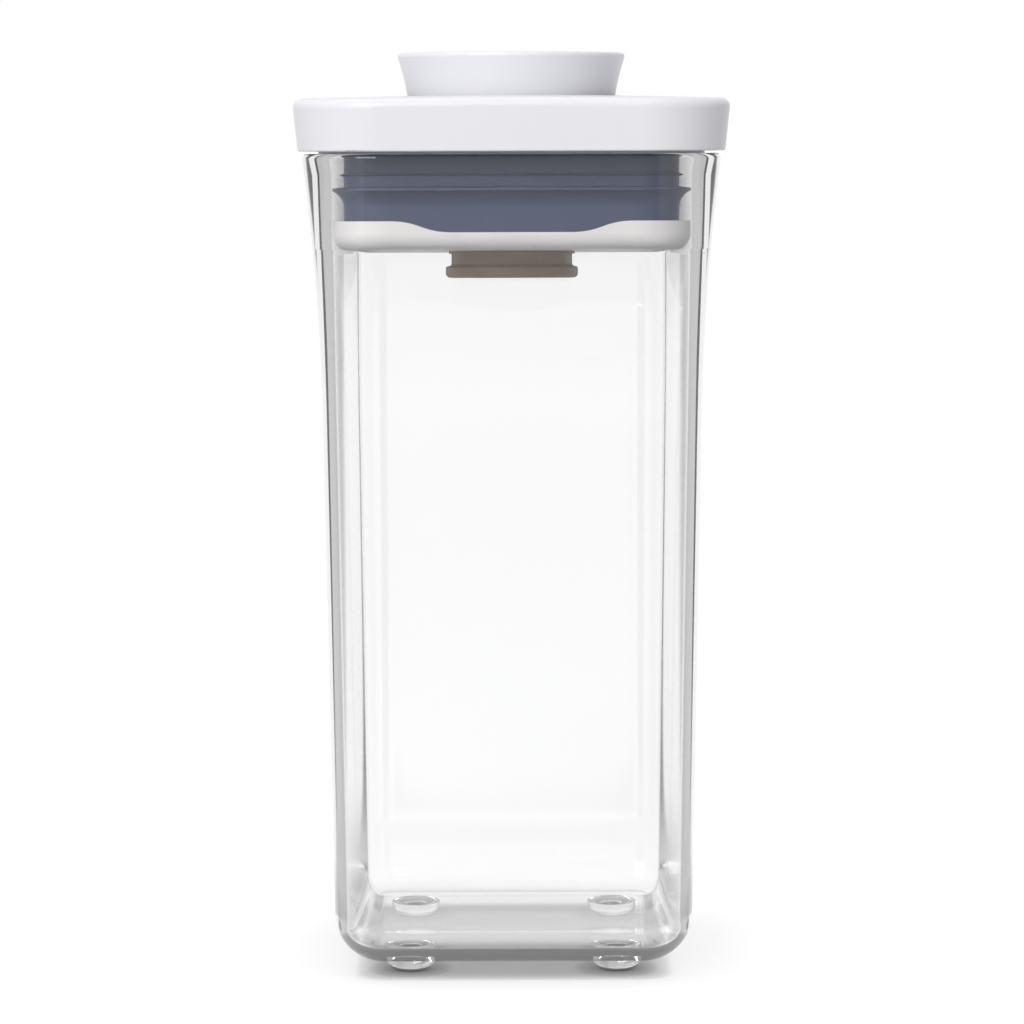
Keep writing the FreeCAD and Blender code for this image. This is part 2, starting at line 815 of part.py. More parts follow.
def make_seal_presser():
    """The plate that the button pushes down: a stepped rim over the gasket and holes for the posts."""
    body = new_body("seal_presser")
    flange_z = gasket_top_z + s.presser_spare
    flange_top_z = flange_z + s.presser_flange
    flange_half = gasket_half + s.presser_lip
    slab(body, "presser_floor", presser_z, s.presser_floor)
    rim = quarter_ring(
        body,
        "presser_rim",
        [
            (0, presser_z),
            (from_corner(presser_half), presser_z),
            (from_corner(presser_half), flange_z),
            (from_corner(flange_half), flange_z),
            (from_corner(flange_half), flange_top_z),
            (riser_corner, flange_top_z),
            (riser_corner, presser_top_z),
            (0, presser_top_z),
        ],
    )
    around(body, rim)
    depth = flange_top_z - presser_z + s.overrun + s.overrun
    opening = sketch_on(body, "presser_opening", "XY_Plane", (0, 0, flange_top_z + s.overrun))
    circle(opening, button_radius - s.button_wall - s.slide_clearance)
    pocket(body, opening, depth)
    hole = sketch_on(body, "presser_post_hole", "XY_Plane", (0, 0, flange_top_z + s.overrun))
    circle(hole, post_hole_radius, post_place, post_place)
    around(body, [pocket(body, hole, depth)])
    return body


def make_plug_frame():
    """The frame inside the gasket: floor and wall, boss, guide tube with its window and spring seat."""
    body = new_body("plug_frame")
    slab(body, "frame_floor", frame_z, s.frame_floor)
    wall = quarter_ring(
        body,
        "frame_wall",
        [
            (0, frame_z),
            (from_corner(frame_half), frame_z),
            (from_corner(frame_half), frame_wall_z),
            (from_corner(frame_inner_half), frame_wall_z),
            (from_corner(frame_inner_half), frame_floor_z),
            (0, frame_floor_z),
        ],
    )
    around(body, wall)
    opening = sketch_on(body, "frame_opening", "XY_Plane", (0, 0, frame_floor_z + s.overrun))
    circle(opening, spigot_hole_radius + s.boss_wall / 2)
    pocket(body, opening, s.overrun + s.frame_floor + s.overrun)
    boss_radius = spigot_hole_radius + s.boss_wall
    relief_radius = s.barb_radius + s.slide_clearance + s.fit_clearance
    seat_bottom_z = spring_seat_z - s.seat_flange_thickness
    core = sketch_on(body, "guide_section", "XZ_Plane")
    outline(
        core,
        [
            (spigot_hole_radius, frame_z),
            (boss_radius, frame_z),
            (boss_radius, boss_z),
            (guide_radius, boss_z),
            (guide_radius, seat_bottom_z),
            (s.seat_flange_radius, seat_bottom_z),
            (s.seat_flange_radius, spring_seat_z),
            (guide_radius, spring_seat_z),
            (guide_radius, guide_z),
            (guide_bore_radius, guide_z),
            (guide_bore_radius, relief_z),
            (relief_radius, relief_z),
            (relief_radius, counterbore_z),
            (spigot_hole_radius, counterbore_z),
        ],
    )
    turn(body, core)

    pin_hole = sketch_on(body, "pin_hole_section", "XZ_Plane", (post_place, 0, -1 * post_place))
    head_room_z = frame_z + s.soft_clearance + s.pin_head_height + s.fit_clearance
    outline(
        pin_hole,
        [
            (0, frame_z - s.overrun),
            (s.pin_head_radius + s.fit_clearance, frame_z - s.overrun),
            (s.pin_head_radius + s.fit_clearance, head_room_z),
            (s.pin_radius + s.fit_clearance, head_room_z),
            (s.pin_radius + s.fit_clearance, frame_floor_z + s.overrun),
            (0, frame_floor_z + s.overrun),
        ],
    )
    around(body, [must_remove(turn(body, pin_hole, cut=True))])

    window = sketch_on(body, "latch_window", "XZ_Plane", (-1 * latch_tip_clear, 0, 0))
    window_width = latch_tip_clear + s.latch_swing + latch_tip_clear
    window_low = latch_tip_z - latch_tip_clear - s.window_margin
    window_high = latch_tip_z + latch_tip_clear
    outline(
        window,
        [
            (0, window_low),
            (window_width, window_low),
            (window_width, window_high),
            (0, window_high),
        ],
    )
    pocket(body, window, guide_radius + s.end_clearance)
    pivot_depth = s.latch_seat + s.slide_clearance
    pivot = sketch_on(body, "latch_pivot", "XZ_Plane", (0, latch_pivot_z, pivot_depth - boss_radius))
    circle(pivot, s.latch_wire / 2 + s.fit_clearance)
    pocket(body, pivot, pivot_depth + s.end_clearance)
    return body


def make_gasket():
    """The silicone ring: a band with the wide sealing fin and a small rib above it."""
    body = new_body("gasket")
    outer = from_corner(gasket_half)
    inner = from_corner(gasket_inner_half)
    tip = from_corner(s.band_half - s.seal_clearance)
    rib = outer + s.rib_reach
    rib_z = gasket_z + s.rib_height
    ring = quarter_ring(
        body,
        "gasket_band",
        [
            (inner, gasket_z),
            (outer, gasket_z, s.gasket_round),
            (outer, gasket_z + s.fin_root_height),
            (tip, gasket_z + s.fin_tip_height),
            (tip, gasket_z + s.fin_tip_height + s.fin_tip_thickness),
            (outer, gasket_z + s.fin_top_height),
            (outer, rib_z),
            (rib, rib_z + s.rib_slope),
            (rib, rib_z + s.rib_slope + s.rib_thickness),
            (outer, rib_z + s.rib_slope + s.rib_thickness + s.rib_slope),
            (outer, gasket_top_z),
            (inner, gasket_top_z),
        ],
        {2: "tangent"},
    )
    around(body, ring)
    return body


def make_gasket_retainer():
    """The dish that holds the gasket from below, its rim dipping in a wave on each side."""
    body = new_body("gasket_retainer")
    top_z = retainer_z + s.retainer_height
    slab(body, "retainer_floor", retainer_z, s.retainer_floor)
    rim = quarter_ring(
        body,
        "retainer_rim",
        [
            (0, retainer_z),
            (from_corner(retainer_half), retainer_z, s.retainer_round),
            (from_corner(retainer_half), top_z),
            (from_corner(retainer_inner_half), top_z),
            (from_corner(retainer_inner_half), frame_z, s.retainer_inner_round),
            (0, frame_z),
        ],
    )
    around(body, rim)
    opening = sketch_on(body, "retainer_opening", "XY_Plane", (0, 0, frame_z + s.overrun))
    circle(opening, spigot_hole_radius)
    pocket(body, opening, s.overrun + s.retainer_floor + s.overrun)

    wave_half = corner_centre - s.wave_margin
    run = (wave_half - s.wave_flat_half) / 2
    drop = s.wave_dip / 2
    bend = bow_radius(run, drop)
    far = 2 * wave_half
    wave = sketch_on(body, "rim_wave", "XZ_Plane", (-1 * wave_half, 0, -1 * (retainer_half + s.overrun)))
    outline(
        wave,
        [
            (0, top_z),
            (run, top_z - drop),
            (2 * run, top_z - s.wave_dip),
            (far - 2 * run, top_z - s.wave_dip),
            (far - run, top_z - drop),
            (far, top_z),
            (far, top_z + s.overrun),
            (0, top_z + s.overrun),
        ],
        {0: (bend, -1), 1: (bend, 1), 3: (bend, 1), 4: (bend, -1)},
    )
    across = 2 * (retainer_half + s.overrun)
    around(body, [pocket(body, wave, across, backwards=True)], count=2, angle=90)
    return body


def make_accessory_knob():
    """The round knob under the retainer: collar, neck and flange, with a hollow spigot into the frame."""
    body = new_body("accessory_knob")
    section = sketch_on(body, "knob_section", "XZ_Plane")
    knob_z = knob_bore_z - s.knob_cap
    flange_top_z = knob_z + s.knob_flange
    collar_z = retainer_z - s.knob_collar
    spigot_top_z = counterbore_z - s.slide_clearance
    outline(
        section,
        [
            (0, knob_z),
            (s.knob_radius, knob_z, s.knob_round),
            (s.knob_radius, flange_top_z, s.knob_round / 2),
            (s.knob_neck_radius, flange_top_z, s.knob_neck_round),
            (s.knob_neck_radius, collar_z),
            (s.knob_collar_radius, collar_z),
            (s.knob_collar_radius, retainer_z),
            (s.spigot_radius, retainer_z),
            (s.spigot_radius, spigot_top_z),
            (s.knob_bore_radius, spigot_top_z),
            (s.knob_bore_radius, knob_bore_z),
            (0, knob_bore_z),
        ],
    )
    turn(body, section)
    return body


pieces = [
    make_container_body(),
    make_lid_cover(),
    make_push_button(),
    make_button_stem(),
    make_return_spring(),
    make_latch_pin(),
    make_seal_presser(),
    make_plug_frame(),
    make_gasket(),
    make_gasket_retainer(),
    make_accessory_knob(),
]
doc.recompute()

for item in doc.Objects:
    if {"Invalid", "Error"} & set(item.State):
        raise RuntimeError(f"{item.Name} failed: {item.State}")
for piece in pieces:
    shape = piece.Shape
    if shape.isNull() or not shape.isValid() or len(shape.Solids) != 1:
        raise RuntimeError(f"{piece.Label} is not one valid solid")

os.makedirs("parts", exist_ok=True)
for piece in pieces:
    box = piece.Shape.optimalBoundingBox()
    piece.Shape.exportStep(f"parts/{piece.Label}.step")
    print(f"{piece.Label}: {piece.Shape.Volume / 1000:.2f} cm3, z {box.ZMin:.2f} to {box.ZMax:.2f}, "
          f"width {box.XLength:.2f} by {box.YLength:.2f}")
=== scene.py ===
# %% [markdown]
# # A clear storage container with a push-button lid
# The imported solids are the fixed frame: they say where every piece is and how it moves.
# This script gives them their looks. It sets up a small white studio, writes one material
# for each plastic, the silicone and the steel, and models the pieces that need a finer
# mesh than the solids have. Everything is in metres, in the frame's own coordinates.

# %% Load the frame
import math

import bmesh
import bpy
from mathutils import Matrix, Vector


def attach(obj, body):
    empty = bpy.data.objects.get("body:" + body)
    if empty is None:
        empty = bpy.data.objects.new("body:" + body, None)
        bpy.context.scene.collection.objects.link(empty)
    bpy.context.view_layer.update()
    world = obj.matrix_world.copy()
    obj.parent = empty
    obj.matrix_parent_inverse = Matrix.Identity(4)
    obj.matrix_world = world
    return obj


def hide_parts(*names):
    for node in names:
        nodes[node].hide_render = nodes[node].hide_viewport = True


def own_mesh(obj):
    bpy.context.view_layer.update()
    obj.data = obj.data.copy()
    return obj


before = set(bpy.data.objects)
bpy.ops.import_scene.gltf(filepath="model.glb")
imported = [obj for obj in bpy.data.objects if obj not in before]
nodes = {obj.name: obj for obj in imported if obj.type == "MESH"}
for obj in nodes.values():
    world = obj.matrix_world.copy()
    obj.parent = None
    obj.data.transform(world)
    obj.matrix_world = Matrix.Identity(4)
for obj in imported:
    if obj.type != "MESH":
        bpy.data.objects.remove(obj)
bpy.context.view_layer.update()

MM = 0.001
scene = bpy.context.scene
print("nodes:", ", ".join(sorted(nodes)))

# %% [markdown]
# ## Camera
# The photograph was taken from straight in front with a long lens, a little above the
# lid, looking slightly down. A short lens close by could show the same width, but it would
# make the sides lean. A long lens far away keeps them nearly upright. The focal length in
# pixels and the pitch were worked out from the container's own edges.

# %% Camera
CAMERA_PLACE = Vector((0.11 * MM, -700 * MM, 158 * MM))
CAMERA_PITCH = math.radians(5.97)
CAMERA_ROLL = math.radians(0.17)
IMAGE_SIDE_PX = 1024
FOCAL_PX = 3655
SENSOR_MM = 36

camera = bpy.data.objects.new("camera", bpy.data.cameras.new("camera"))
camera.data.sensor_width = SENSOR_MM
camera.data.lens = FOCAL_PX * SENSOR_MM / IMAGE_SIDE_PX
camera.location = CAMERA_PLACE
camera.rotation_euler = (math.pi / 2 - CAMERA_PITCH, CAMERA_ROLL, 0)
scene.collection.objects.link(camera)
scene.camera = camera
scene.view_settings.view_transform = "Standard"
print(f"camera lens {camera.data.lens:.1f} mm")

# %% [markdown]
# ## Writing node trees as expressions
# Materials and Geometry Nodes are both trees of nodes. Adding and linking them one by one
# is long to read, so a small class wraps an output socket: sums and products of it add
# Math nodes, and one method adds any other node with its settings and inputs.


# %% Socket wrapper
class Wire:
    """An output socket. Arithmetic on it adds Math nodes to the same tree."""

    def __init__(self, socket):
        self.socket = socket

    @classmethod
    def node(cls, tree, kind, settings=None, inputs=None, output=0):
        """Add a node: settings first, then a value, a Wire or a list of Wires for each input."""
        made = tree.nodes.new(kind)
        for name, value in (settings or {}).items():
            setattr(made, name, value)
        for key, value in (inputs or {}).items():
            for item in value if isinstance(value, list) else [value]:
                if isinstance(item, cls):
                    tree.links.new(item.socket, made.inputs[key])
                else:
                    made.inputs[key].default_value = item
        return cls(made.outputs[output]) if len(made.outputs) else None

    def math(self, operation, first, second):
        tree = self.socket.id_data
        return self.node(tree, "ShaderNodeMath", {"operation": operation}, {0: first, 1: second})

    def __add__(self, other):
        return self.math("ADD", self, other)

    __radd__ = __add__

    def __mul__(self, other):
        return self.math("MULTIPLY", self, other)

    __rmul__ = __mul__

    def __sub__(self, other):
        return self.math("SUBTRACT", self, other)

    def __rsub__(self, other):
        return self.math("SUBTRACT", other, self)

    def __abs__(self):
        return self.math("ABSOLUTE", self, 0)

    def at_most(self, other):
        return self.math("MINIMUM", self, other)

    def above(self, other):
        """1 where it is greater than the other, or else 0."""
        return self.math("GREATER_THAN", self, other)


# %% [markdown]
# ## Studio
# A clear piece is only as good as what it bends. The floor and the world are white where
# they are seen, also straight through plastic. Light that is mirrored inside a thick wall
# comes out sideways, where a studio is no longer white: there are grey walls, and dark
# boards that photographers stand beside clear things to draw their edges. Real boards
# would show in other views and throw shadows, so they are only a pattern in the world and
# the floor, for the rays that were mirrored inside plastic. A Light Path node tells which
# rays those are.

# %% Which rays see what
ROOM_LEVEL = 0.52  # the grey room
DARK_LEVEL = 0.02  # the dark boards
EDGE_LEVEL = 0.48  # the opening, for light that ran along inside a wall
# Turns, from 0 straight ahead to 1 at the side, over which one thing gives way to the next.
OPENING_EDGES = (0.09, 0.15)
BOARD_EDGES = (0.34, 0.38)
WALL_EDGES = (0.60, 0.68)
GUIDED_COUNT = 3.5  # light that met more faces than this ran along inside a wall
THROUGH_COUNT = 2.5  # light that went through more faces than this crossed the container


def light_path(tree, output):
    return Wire.node(tree, "ShaderNodeLightPath", output=output)


def seen_ray(tree):
    """1 for rays from the camera, also by a mirror or clear plastic, but not off matt things."""
    ways = ("Is Camera Ray", "Is Glossy Ray", "Is Transmission Ray")
    camera_ray, glossy_ray, clear_ray = (light_path(tree, way) for way in ways)
    matt = light_path(tree, "Diffuse Depth").at_most(1)
    return (camera_ray + glossy_ray + clear_ray).at_most(1) * (1 - matt)


def inner_ray(tree):
    """1 for rays that were mirrored by clear plastic that they had entered."""
    mirrored = light_path(tree, "Glossy Depth").at_most(1)
    entered = light_path(tree, "Transmission Depth").at_most(1)
    return seen_ray(tree) * mirrored * entered


def step_up(tree, value, edges):
    """A smooth step from 0 to 1 between two values."""
    inputs = {"Value": value, "From Min": edges[0], "From Max": edges[1]}
    return Wire.node(tree, "ShaderNodeMapRange", {"interpolation_type": "SMOOTHSTEP"}, inputs)


def along_axis(tree, place, axis):
    """How far a place lies from the middle along X, Y or Z, whichever way."""
    return abs(Wire.node(tree, "ShaderNodeSeparateXYZ", None, {0: place}, output=axis))


def room_level(tree, place, flat):
    """How bright the studio is all round, for rays that were mirrored inside clear plastic.

    To the front and back stand dark boards with an opening between them, beside them is a
    white wall, and the room is grey at the sides. A ray that was mirrored once meets only
    the dark of the boards or the grey of the sides, and one that ran along inside a wall
    meets a dim opening. Where flat falls to 0, above and below, the room is an even grey.
    """
    across, ahead = (along_axis(tree, place, axis) for axis in ("X", "Y"))
    turn = across.math("ARCTAN2", across, ahead) * (2 / math.pi)
    passed = light_path(tree, "Transmission Depth")
    guided = (light_path(tree, "Glossy Depth") + passed).above(GUIDED_COUNT)
    through = passed.above(THROUGH_COUNT)
    opening = 1 - step_up(tree, turn, OPENING_EDGES)
    beyond = step_up(tree, turn, BOARD_EDGES)
    wall = beyond * (1 - step_up(tree, turn, WALL_EDGES))
    gap = guided * (EDGE_LEVEL - DARK_LEVEL) + through * (1 - EDGE_LEVEL)
    level = DARK_LEVEL + beyond * (ROOM_LEVEL - DARK_LEVEL)
    level = level + opening * gap + guided * wall * (1 - ROOM_LEVEL)
    return ROOM_LEVEL + flat * (level - ROOM_LEVEL)


# %% [markdown]
# ## Floor
# The container stands on a white table. A plane that only glows would be white but show no
# shadow, and one that is only lit turns grey far from the lamps. This one does both: it is
# lit like any matt surface, and where it is seen it also glows, a little more with
# distance to make up for the fading lamps. Close to the feet and the base, where little
# light gets in, both fall off by Ambient Occlusion over a short and a long reach.

# %% Floor
FLOOR_SIDE = 8.0
FLOOR_DROP = 0.1 * MM
FLOOR_SHADE = 0.56
FLOOR_GLOW = {"From Min": 0.10, "From Max": 1.5, "To Min": 0.615, "To Max": 0.732}
CONTACT_SHARES = {4 * MM: 0.95, 25 * MM: 0.2}
# For mirrored rays the floor is an even grey near the middle, and darker under the container.
FLAT_PLACES = (0.08, 0.2)
UNDER_EDGES = (0.02, 0.10)
UNDER_LEVEL = 0.35


def new_material(name):
    """A material with an empty node tree, and that tree."""
    material = bpy.data.materials.new(name)
    material.use_nodes = True
    material.node_tree.nodes.clear()
    return material, material.node_tree


def open_share(tree):
    """How much light gets in between the floor and what stands on it, from 0 to 1."""
    light = 1
    for reach, share in CONTACT_SHARES.items():
        inputs = {"Distance": reach}
        free = Wire.node(tree, "ShaderNodeAmbientOcclusion", None, inputs, output="AO")
        light = light * (1 - share + free * share)
    return light


def floor_material():
    """White where it is seen, dark close to what stands on it, the room for mirrored rays."""
    material, tree = new_material("studio_floor")
    place = Wire.node(tree, "ShaderNodeTexCoord", output="Object")
    length = {"operation": "LENGTH"}
    away = Wire.node(tree, "ShaderNodeVectorMath", length, {0: place}, output="Value")
    light = open_share(tree)
    matt = Wire.node(tree, "ShaderNodeBsdfDiffuse", None, {"Color": light * FLOOR_SHADE})
    glow = Wire.node(tree, "ShaderNodeMapRange", None, {"Value": away, **FLOOR_GLOW})
    glow = glow * light * seen_ray(tree)
    glow = Wire.node(tree, "ShaderNodeEmission", None, {"Strength": glow})
    white = Wire.node(tree, "ShaderNodeAddShader", None, {0: matt, 1: glow})
    under = UNDER_LEVEL + step_up(tree, away, UNDER_EDGES) * (1 - UNDER_LEVEL)
    level = room_level(tree, place, step_up(tree, away, FLAT_PLACES)) * under
    room = Wire.node(tree, "ShaderNodeEmission", None, {"Strength": level})
    both = Wire.node(tree, "ShaderNodeMixShader", None, {0: inner_ray(tree), 1: white, 2: room})
    Wire.node(tree, "ShaderNodeOutputMaterial", None, {"Surface": both})
    return material


def make_floor():
    mesh = bpy.data.meshes.new("floor")
    shape = bmesh.new()
    bmesh.ops.create_grid(shape, x_segments=1, y_segments=1, size=FLOOR_SIDE / 2)
    bmesh.ops.translate(shape, verts=shape.verts, vec=(0, 0, -FLOOR_DROP))
    shape.to_mesh(mesh)
    shape.free()
    mesh.materials.append(floor_material())
    floor = bpy.data.objects.new("floor", mesh)
    scene.collection.objects.link(floor)


make_floor()
print(f"floor: {FLOOR_SIDE:.0f} m wide")

# %% [markdown]
# ## World
# Round the table is a white sweep of paper. The world stands in for it. It lights the
# container softly from all sides at about half strength, and where it is seen it is
# plain white. Lighting with a world that is as bright as it looks would wash out the lid.

# %% World
WHITE = (1, 1, 1, 1)
WORLD_COLOUR = (0.97, 0.98, 1.0, 1)
WORLD_LEVEL = 0.49
FLAT_HEIGHTS = (0.2, 0.35)


def background(tree, colour, strength):
    inputs = {"Color": colour, "Strength": strength}
    return Wire.node(tree, "ShaderNodeBackground", None, inputs)


def make_world():
    world = bpy.data.worlds.new("studio")
    world.use_nodes = True
    tree = world.node_tree
    tree.nodes.clear()
    place = Wire.node(tree, "ShaderNodeTexCoord", output="Generated")
    flat = 1 - step_up(tree, along_axis(tree, place, "Z"), FLAT_HEIGHTS)
    light = background(tree, WORLD_COLOUR, WORLD_LEVEL)
    backdrop = background(tree, WHITE, 1.0)
    room = background(tree, WHITE, room_level(tree, place, flat))
    inputs = {0: seen_ray(tree), 1: light, 2: backdrop}
    both = Wire.node(tree, "ShaderNodeMixShader", None, inputs)
    inputs = {0: inner_ray(tree), 1: both, 2: room}
    all_three = Wire.node(tree, "ShaderNodeMixShader", None, inputs)
    Wire.node(tree, "ShaderNodeOutputWorld", None, {"Surface": all_three})
    scene.world = world


make_world()
print(f"world: light {WORLD_LEVEL} of white")

# %% [markdown]
# ## Lamps
# In the photograph the left and the front of the lid are a little brighter than its right
# end, and the shades are soft. A sun or a point lamp would draw hard shadows. Two square
# soft boxes do it: a key to the left of the camera, and a weak one overhead that lights
# the tops. Both stay weak, so that white plastic doesn't clip.

# %% Lamps
LAMPS = {
    "key_lamp": {"place": (-0.36, -0.88, 0.60), "side": 0.55, "watts": 6.5},
    "top_lamp": {"place": (-0.1, 0.05, 1.0), "side": 0.7, "watts": 1.4},
}
LAMP_AIM = Vector((0, 0, 0.09))


def make_lamp(name, place, side, watts):
    """A square soft box that faces the container."""
    data = bpy.data.lights.new(name, "AREA")
    data.size = side
    data.energy = watts
    lamp = bpy.data.objects.new(name, data)
    lamp.location = place
    lamp.rotation_euler = (LAMP_AIM - Vector(place)).to_track_quat("-Z", "Y").to_euler()
    scene.collection.objects.link(lamp)


for name, facts in LAMPS.items():
    make_lamp(name, **facts)
print("lamps:", ", ".join(LAMPS))

# %% [markdown]
# ## Opaque plastics
# The lid, the button, the retainer and the knob are moulded. Moulded plastic is never one
# even colour: it drifts a little where the melt flowed, its gloss drifts with it, and its
# surface has faint waves and a fine grain from the mould. An image could hold all that,
# but it would need an unwrapped mesh. Noise in the piece's own coordinates needs none and
# stays with the piece from every side.


# %% Material helpers
def noise(tree, scale, detail=2.0, stretch=(1, 1, 1)):
    """Noise from 0 to 1 with that many features to a metre."""
    place = Wire.node(tree, "ShaderNodeTexCoord", output="Object")
    place = Wire.node(tree, "ShaderNodeMapping", None, {"Vector": place, "Scale": stretch})
    inputs = {"Vector": place, "Scale": scale, "Detail": detail}
    return Wire.node(tree, "ShaderNodeTexNoise", None, inputs)


def blend_colours(tree, share, first, second):
    inputs = {0: share, 6: (*first, 1), 7: (*second, 1)}
    return Wire.node(tree, "ShaderNodeMix", {"data_type": "RGBA"}, inputs, output=2)


def relief(tree, height):
    """Bump by a height in millimetres."""
    inputs = {"Height": height, "Strength": 1.0, "Distance": MM}
    return Wire.node(tree, "ShaderNodeBump", None, inputs)


def finish_material(tree, inputs):
    surface = Wire.node(tree, "ShaderNodeBsdfPrincipled", None, inputs)
    Wire.node(tree, "ShaderNodeOutputMaterial", None, {"Surface": surface})


# %% Opaque plastics
PLASTIC_IOR = 1.5
GLOSS_DRIFT = 0.1
PLASTICS = {
    "white_plastic": {
        "colour": (0.83, 0.825, 0.86), "shade": (0.81, 0.805, 0.845),
        "roughness": 0.3, "wave": 0.004, "grain": 0.002},
    # The retainer is white plastic like the lid; its greyer, warmer colour is painted shade for
    # its place under the lid.
    "retainer_plastic": {
        "colour": (0.72, 0.705, 0.695), "shade": (0.69, 0.675, 0.665),
        "roughness": 0.36, "wave": 0.004, "grain": 0.003},
    "taupe_plastic": {
        "colour": (0.330, 0.228, 0.152), "shade": (0.292, 0.200, 0.130),
        "roughness": 0.38, "wave": 0.003, "grain": 0.004},
    "inner_plastic": {
        "colour": (0.66, 0.66, 0.64), "shade": (0.62, 0.62, 0.60),
        "roughness": 0.42, "wave": 0.003, "grain": 0.004},
}


def moulded_plastic(name, colour, shade, roughness, wave, grain):
    """Colour drifts to shade, gloss drifts with it, and waves and grain are in millimetres."""
    material, tree = new_material(name)
    drift = noise(tree, scale=45, detail=3)
    waves = noise(tree, scale=70, detail=2)
    fine = noise(tree, scale=2600, detail=1)
    finish_material(tree, {
        "Base Color": blend_colours(tree, drift, colour, shade),
        "Roughness": roughness - GLOSS_DRIFT / 2 + drift * GLOSS_DRIFT,
        "IOR": PLASTIC_IOR,
        "Normal": relief(tree, waves * wave + fine * grain),
    })
    return material


plastics = {name: moulded_plastic(name, **facts) for name, facts in PLASTICS.items()}
print("opaque plastics:", ", ".join(plastics))

# %% [markdown]
# ## Silicone
# The seal is blue-grey silicone rubber. It is softer to look at than the plastics: a satin
# skin with a faint paler bloom, fine pores, and flow lines that run round the ring. A
# sheen layer could give the satin too, but rubber has no fibres, so plain roughness that
# follows the bloom is nearer to it. Stretching the noise in height draws the flow lines.

# %% Silicone
SILICONE_COLOUR, SILICONE_BLOOM = (0.020, 0.036, 0.094), (0.030, 0.046, 0.112)
SILICONE_IOR = 1.42
SATIN, SATIN_DRIFT = 0.38, 0.16
FLOW_HEIGHT, PORE_HEIGHT = 0.012, 0.0012


def make_silicone():
    material, tree = new_material("silicone")
    bloom = noise(tree, scale=60, detail=4, stretch=(1, 1, 3))
    pores = noise(tree, scale=3200, detail=1)
    flow = noise(tree, scale=25, detail=2, stretch=(1, 1, 12))
    finish_material(tree, {
        "Base Color": blend_colours(tree, bloom, SILICONE_COLOUR, SILICONE_BLOOM),
        "Roughness": SATIN + bloom * SATIN_DRIFT,
        "IOR": SILICONE_IOR,
        "Normal": relief(tree, flow * FLOW_HEIGHT + pores * PORE_HEIGHT),
    })
    return material


silicone = make_silicone()
print("material:", silicone.name)

# %% [markdown]
# ## Spring steel
# The spring and the latch are drawn wire: bright metal with fine streaks from the die.
# Anisotropy could stretch the highlight, but it needs tangents that follow the wire.
# Streaky noise in the colour, the gloss and the bump does without.

# %% Spring steel
STEEL_BRIGHT, STEEL_DARK = (0.58, 0.58, 0.60), (0.46, 0.46, 0.48)
STEEL_GLOSS, STEEL_DRIFT = 0.22, 0.16
STREAK_HEIGHT = 0.01


def make_steel():
    material, tree = new_material("spring_steel")
    streaks = noise(tree, scale=900, detail=2, stretch=(1, 1, 6))
    finish_material(tree, {
        "Base Color": blend_colours(tree, streaks, STEEL_BRIGHT, STEEL_DARK),
        "Metallic": 1.0,
        "Roughness": STEEL_GLOSS + streaks * STEEL_DRIFT,
        "Normal": relief(tree, streaks * STREAK_HEIGHT),
    })
    return material


spring_steel = make_steel()
print("material:", spring_steel.name)

# %% [markdown]
# ## Clear plastic
# The shell is a clear, glossy moulding that bends light and is a little grey where it is
# thick. Alpha alone would make it look like thin film, so it is full transmission with the
# plastic's own index, and the grey is absorption inside it. Two things differ from real
# plastic. Lamps shine straight through, because else a clear piece throws a black shadow.
# And light that was mirrored inside a wall again and again is let out, because a
# renderer stops counting bounces and would draw it black.

# %% Clear plastic
CLEAR_IOR = 1.57
TINT = (0.50, 0.48, 0.50, 1)
TINT_DENSITY = 10
LAMP_TINT = (0.92, 0.915, 0.92, 1)
INNER_MIRRORS = 2.5
HAZE = 0.02
CLEAR_WAVE = 0.03


def make_clear_plastic():
    material, tree = new_material("clear_plastic")
    waves = noise(tree, scale=28, detail=1)
    haze = noise(tree, scale=90, detail=3)
    clear = Wire.node(tree, "ShaderNodeBsdfPrincipled", None, {
        "Base Color": WHITE,
        "Roughness": haze * HAZE,
        "IOR": CLEAR_IOR,
        "Transmission Weight": 1.0,
        "Normal": relief(tree, waves * CLEAR_WAVE),
    })
    opened = Wire.node(tree, "ShaderNodeBsdfTransparent", None, {"Color": LAMP_TINT})
    trapped = light_path(tree, "Glossy Depth").above(INNER_MIRRORS)
    let_out = (light_path(tree, "Is Shadow Ray") + trapped).at_most(1)
    surface = Wire.node(tree, "ShaderNodeMixShader", None, {0: let_out, 1: clear, 2: opened})
    inputs = {"Color": TINT, "Density": TINT_DENSITY}
    inside = Wire.node(tree, "ShaderNodeVolumeAbsorption", None, inputs)
    Wire.node(tree, "ShaderNodeOutputMaterial", None, {"Surface": surface, "Volume": inside})
    return material


clear_plastic = make_clear_plastic()
print("material:", clear_plastic.name)

# %% [markdown]
# ## Drawing sections
# The shell and the gasket are each one section carried round a rounded square. A section
# could be typed in as a list of points, but its curves would be hard to change. It is
# drawn as in a workshop drawing instead: how far out from the corner's centre line, and
# how far up. It has straight runs, rounded corners and arcs that flow on from what came
# before.


